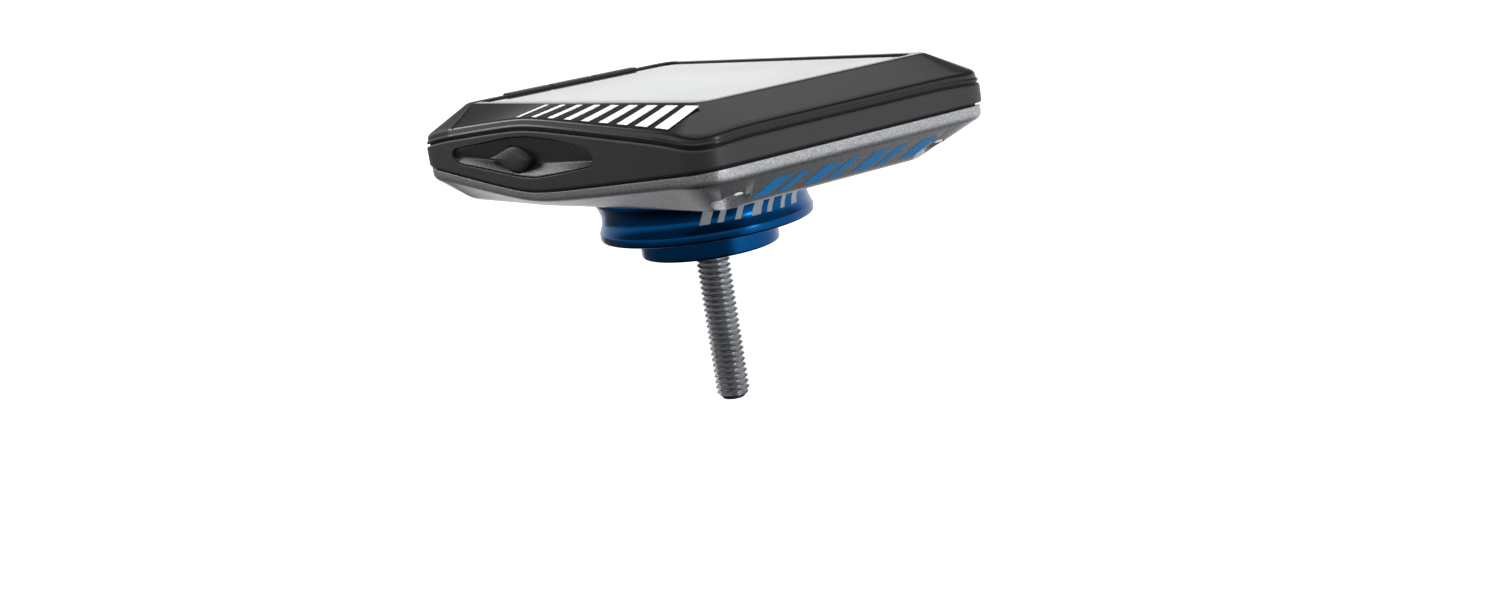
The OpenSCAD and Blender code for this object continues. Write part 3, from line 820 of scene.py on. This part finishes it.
def make_bolt():
    """Clamping bolt with a real helical thread."""
    pitch, major, minor = 1.0, 3.0, 2.42
    z_top, z_tip, around, per_turn = -4.5, -31.0, 48, 10
    rows = int((z_top - z_tip) / pitch * per_turn)
    turn = np.arange(around) / around
    rings = []
    for j in range(rows + 1):
        z = z_top + (z_tip - z_top) * j / rows
        fade = min(1.0, (z - z_tip) / 1.2, (z_top - z) / 1.5 + 0.05)
        phase = np.abs(((z / pitch + turn) % 1.0) - 0.5) * 2
        crest = np.clip(phase * 1.25 - 0.1, 0, 1)
        taper = min(0.0, (z - z_tip) - 0.8)
        r = minor + (major - minor) * crest * max(fade, 0) + taper * 0.6
        rings.append(circle(r, z, around))

    head_r, head_top, head_under = 5, 2.4, -1
    socket_r, socket_floor, shank_r = 2.6, 0.2, 2.85
    profile = [(socket_r, socket_floor), (socket_r, head_top), (head_r, head_top), (head_r, head_under),
               (shank_r, head_under), (shank_r, -4.4)]
    shaft = round_edges([circle(r, z, around) for r, z in profile], [0, 0.1, 0.3, 0.2, 0.2, 0], closed=False)
    bolt = loft("cap_bolt_threaded", shaft + rings, caps=True, angle=50)
    return dress(bolt, "mount", "bolt_steel", replaces=["cap_bolt"])


# ---- display ----

# Open part of the print under the lens: half its width, its rider end and its front end
SCREEN = (17.6, -29.6, 29.4)
LENS_T, LENS_R = 1.0, 2.4


def make_lens():
    bottom, edge = Z_LENS - LENS_T, 0.12
    rings = round_edges([
        lens_outline(-3, 1, bottom),
        lens_outline(0, LENS_R, bottom),
        lens_outline(0, LENS_R, Z_LENS),
        lens_outline(-3, 1, Z_LENS),
    ], [0, edge, edge, 0], closed=False)
    lens = loft("lens_glass", rings, caps=True)
    keep_flats(lens)
    return dress(lens, "computer", "lens_glass", replaces=["display_lens"])


def make_lens_border():
    """Black print under the lens, open over the screen."""
    top = Z_LENS - LENS_T - 0.02
    bottom = top - 0.06
    rings = [
        lens_outline(-0.15, 2.2, top),
        loop(*SCREEN, 0.6, top),
        loop(*SCREEN, 0.6, bottom),
        lens_outline(-0.15, 2.2, bottom),
    ]
    border = loft("lens_border_print", rings, closed=True)
    return dress(border, "computer", "black_foam", black_print)


# ---- generic marks in place of the lettering ----

def ribbon(name, corners, lift, surface):
    """Thin printed patch over four (u, v) corners.

    surface(u, v) gives the point there and its outward normal."""
    steps, sunk = 8, 0.02
    front, back = [], []
    for i in range(steps + 1):
        s = i / steps
        a = np.array(corners[0]) * (1 - s) + np.array(corners[1]) * s
        b = np.array(corners[3]) * (1 - s) + np.array(corners[2]) * s
        placed = [surface(*(a * (1 - j / steps) + b * j / steps)) for j in range(steps + 1)]
        front.append([point + normal * lift for point, normal in placed])
        back.append([point - normal * sunk for point, normal in placed])
    return grid_solid(name, front, back)


def side_slope(y, up):
    """Point on the right-hand slope of the front housing: up runs from the lip, 0, to the flat edge, 1."""
    def at(yy, uu):
        low = np.array([HALF_W - FRONT_INSET, yy + CASE_Y, float(slope_bottom(HALF_W, yy)) + FRONT_LIP])
        high = np.array([FLAT_X, yy + CASE_Y, Z_FACE])
        return low * (1 - uu) + high * uu

    point = at(y, up)
    along = at(y + 0.05, up) - at(y - 0.05, up)
    rise = at(y, up + 0.02) - at(y, up - 0.02)
    normal = np.cross(along, rise)
    return point, normal / np.linalg.norm(normal) * (1 if normal[2] > 0 else -1)


def end_chamfer(x, up):
    """Point on the front chamfer of the rear housing: up runs from the underside, 0, to the lip, 1."""
    def at(xx, uu):
        lip_y = HALF_L - LIP_INSET
        low = np.array([xx, HALF_L - SOLE_END + CASE_Y, Z_UNDER])
        high = np.array([xx, lip_y + CASE_Y, float(lip_bottom(xx, lip_y))])
        return low * (1 - uu) + high * uu

    point = at(x, up)
    normal = np.cross(at(x + 1, up) - point, at(x, up + 0.1) - point)
    return point, normal / np.linalg.norm(normal) * (1 if normal[2] < 0 else -1)


def slanted_bar(name, u0, width, v0, v1, slant, surface):
    lift = 0.04
    corners = [(u0, v0), (u0 + width, v0), (u0 + width + slant, v1), (u0 + slant, v1)]
    return ribbon(name, corners, lift, surface)


def make_creases():
    """Fine raised line across each side slope, where the rider-end cover starts; its lighter grey is a
    painted highlight along the crease's edge.
    """
    for side, name in ((1, "right"), (-1, "left")):
        def slope(y, up, side=side):
            point, normal = side_slope(y, up)
            return point * (side, 1, 1), normal * (side, 1, 1)
        corners = [(-31.9, 0.02), (-31.6, 0.02), (-33.2, 0.97), (-33.5, 0.97)]
        line = ribbon(f"crease_{name}", corners, 0.05, slope)
        dress(line, "computer", "front_black", crease_highlight_paint)


def cap_waist(angle, z):
    """Point on the bracket's rim, and its outward normal."""
    r = waist_radius((z - WAIST_LOW) / WAIST_H)
    a = math.radians(angle)
    return np.array([r * math.cos(a), r * math.sin(a), z]), np.array([math.cos(a), math.sin(a), 0.0])


def make_marks():
    """Rows of slanted bars on the bracket's rim, the right-hand slope and the front chamfer below."""
    for k in range(7):
        width = 3.4 if k % 3 else 5.6
        bar = slanted_bar(f"cap_mark_{k + 1}", 52 + 9.5 * k, width, 3.0, 5.2, 3.0, cap_waist)
        dress(bar, "mount", "blue_anodised", etched_print)
    for k in range(9):
        start, width = -8.0 + 5.2 * k, 1.2 + 0.28 * k
        bar = slanted_bar(f"side_mark_{k + 1}", start, width, 0.12, 0.9, 1.9, side_slope)
        dress(bar, "computer", "front_black", white_print)
    for k in range(7):
        width = -1.9 if k % 2 else -3.3
        bar = slanted_bar(f"end_mark_{k + 1}", 16 - 4.9 * k, width, 0.22, 0.7, -2.0, end_chamfer)
        dress(bar, "computer", "rear_grey", blue_print)


# ---- carried-over CAD nodes ----

# Width of the bevel on each node that gets one
SOFT_EDGES = {
    "button_left": 0.22, "button_center": 0.22, "button_right": 0.22,
    "power_button": 0.2, "usb_flap": 0.2,
    "bayonet_insert": 0.15, "housing_screws": 0.15,
}


def dress_nodes():
    """Materials and soft edges for the CAD nodes that no piece stands for."""
    slots = {s["node"]: s["material_slot"] for s in frame["record"]["subparts"]}
    for name, node in frame["nodes"].items():
        if name in replaced:
            continue
        node.data.materials.clear()
        node.data.materials.append(MATERIAL[slots[name]])
        weld = node.modifiers.new("weld", "WELD")
        weld.merge_threshold = 1e-6
        if name in SOFT_EDGES:
            bevel = node.modifiers.new("soft_edges", "BEVEL")
            bevel.width = SOFT_EDGES[name] * MM
            bevel.segments = 3
            bevel.limit_method = "ANGLE"
            bevel.angle_limit = math.radians(30)
            bevel.harden_normals = False


# ---- studio ----

FLOOR_Z = -200.0


def math_node(tree, operation, first, second):
    node = tree.nodes.new("ShaderNodeMath")
    node.operation = operation
    for slot, value in zip(node.inputs, (first, second)):
        if isinstance(value, (int, float)):
            slot.default_value = value
        else:
            tree.links.new(value, slot)
    return node.outputs[0]


def camera_sees(tree, seen, otherwise):
    """One shader for the backdrop as it is seen, and another for how it lights the object."""
    path = tree.nodes.new("ShaderNodeLightPath")
    mix = tree.nodes.new("ShaderNodeMixShader")
    tree.links.new(path.outputs["Is Camera Ray"], mix.inputs["Fac"])
    tree.links.new(otherwise, mix.inputs[1])
    tree.links.new(seen, mix.inputs[2])
    return mix.outputs["Shader"]


def left_light(tree, x, least, span):
    """The studio is brighter on the object's left than on its right, where it falls to least."""
    return ramp(tree, x, 1.0, least, *span)


def floor_material():
    """Pale floor: it lights the object mostly from further out, its glow dimmed close beneath the object as
    a painted shadow, and is open from below.
    """
    material = bpy.data.materials.new("pale_floor")
    tree, shader = nodes_of(material)
    shader.inputs["Roughness"].default_value = 0.9
    shader.inputs["Specular IOR Level"].default_value = 0.05
    cloud = noise(tree, 2, 2)
    shade = tint(tree, cloud.outputs["Fac"], (0.78, 0.78, 0.78), (0.8, 0.8, 0.8))
    tree.links.new(shade, shader.inputs["Base Color"])
    shader.inputs["Emission Color"].default_value = (1, 1, 1, 1)
    shader.inputs["Emission Strength"].default_value = 0.85
    place = tree.nodes.new("ShaderNodeTexCoord")
    away = tree.nodes.new("ShaderNodeVectorMath")
    away.operation = "LENGTH"
    tree.links.new(place.outputs["Object"], away.inputs[0])
    split = tree.nodes.new("ShaderNodeSeparateXYZ")
    tree.links.new(place.outputs["Object"], split.inputs["Vector"])
    # Glow dimmed close beneath the object: a painted shadow, reflected in the object and bounced onto it but
    # not seen by the camera
    reach = ramp(tree, away.outputs["Value"], 0.05, 1.0, 0.17, 0.47)
    glow = tree.nodes.new("ShaderNodeEmission")
    side = math_node(tree, "DIVIDE", split.outputs["X"], away.outputs["Value"])
    strength = math_node(tree, "MULTIPLY", reach, left_light(tree, side, 0.15, (-0.15, 0.04)))
    tree.links.new(strength, glow.inputs["Strength"])
    surface = camera_sees(tree, shader.outputs["BSDF"], glow.outputs["Emission"])
    geometry = tree.nodes.new("ShaderNodeNewGeometry")
    clear = tree.nodes.new("ShaderNodeBsdfTransparent")
    mix = tree.nodes.new("ShaderNodeMixShader")
    tree.links.new(geometry.outputs["Backfacing"], mix.inputs["Fac"])
    tree.links.new(surface, mix.inputs[1])
    tree.links.new(clear.outputs["BSDF"], mix.inputs[2])
    tree.links.new(mix.outputs["Shader"], tree.nodes["Material Output"].inputs["Surface"])
    return material


# Brightness of the surroundings against the height of the direction looked in
SKY = [(-1.0, 0.5), (0.0, 0.85), (0.14, 0.82), (0.3, 0.12), (0.62, 0.15), (0.76, 0.85), (1.0, 1.0)]


def make_world():
    world = bpy.data.worlds.new("world")
    scene.world = world
    world.use_nodes = True
    tree = world.node_tree
    sky = tree.nodes["Background"]
    place = tree.nodes.new("ShaderNodeTexCoord")
    split = tree.nodes.new("ShaderNodeSeparateXYZ")
    tree.links.new(place.outputs["Generated"], split.inputs["Vector"])
    bands = tree.nodes.new("ShaderNodeValToRGB")
    bands.color_ramp.interpolation = "EASE"
    stops = bands.color_ramp.elements
    while len(stops) < len(SKY):
        stops.new(0.5)
    for stop, (z, bright) in zip(stops, SKY):
        stop.position = (z + 1) / 2
        stop.color = (bright, bright, bright, 1)
    tree.links.new(ramp(tree, split.outputs["Z"], 0, 1, -1, 1), bands.inputs["Fac"])
    tree.links.new(bands.outputs["Color"], sky.inputs["Color"])
    side = left_light(tree, split.outputs["X"], 0.75, (-0.4, 0.3))
    tree.links.new(math_node(tree, "MULTIPLY", side, 1.3), sky.inputs["Strength"])
    white = tree.nodes.new("ShaderNodeBackground")
    white.inputs["Color"].default_value = (1, 1, 1, 1)
    white.inputs["Strength"].default_value = 1.2
    surface = camera_sees(tree, white.outputs["Background"], sky.outputs["Background"])
    tree.links.new(surface, tree.nodes["World Output"].inputs["Surface"])


def make_studio():
    half = 4000.0
    floor = new_object("floor", [(-half, -half, 0), (half, -half, 0), (half, half, 0), (-half, half, 0)],
                       [(0, 1, 2, 3)])
    if floor.data.polygons[0].normal.z < 0:
        floor.data.flip_normals()
    floor.location.z = FLOOR_Z * MM
    floor.data.materials.append(floor_material())
    top = light("softbox_top", (-0.05, 0.0, 0.7), (0, 0, 0.02), 0.4, 0.3, 4.2)
    top.visible_glossy = False
    light("softbox_right", (0.15, -0.535, 0.25), (0.03, 0, 0.015), 0.2, 0.18, 0.36)
    light("lamp_front", (-0.144, 0.593, 0.04), (0, 0, 0.01), 0.04, 0.04, 0.35)
    make_world()


def light(name, place, target, width, height, power):
    data = bpy.data.lights.new(name, "AREA")
    data.shape = "RECTANGLE"
    data.size, data.size_y = width, height
    data.energy = power
    lamp = bpy.data.objects.new(name, data)
    scene.collection.objects.link(lamp)
    lamp.location = place
    lamp.rotation_mode = "QUATERNION"
    lamp.rotation_quaternion = (Vector(target) - Vector(place)).to_track_quat("-Z", "Y")
    lamp.visible_camera = False
    return lamp


make_front_housing()
make_band()
make_nub()
make_zoom_key("zoom_up_key", "zoom_up", 15.65, 1.0, 1.9)
make_zoom_key("zoom_down_key", "zoom_down", -31.9, 0.6, 1.9)
make_front_seal()
make_rear_housing()
make_foot_tabs()
make_cap()
make_bolt()
make_lens()
make_lens_border()
make_marks()
make_creases()
dress_nodes()
make_studio()
scene.view_settings.view_transform = "Standard"
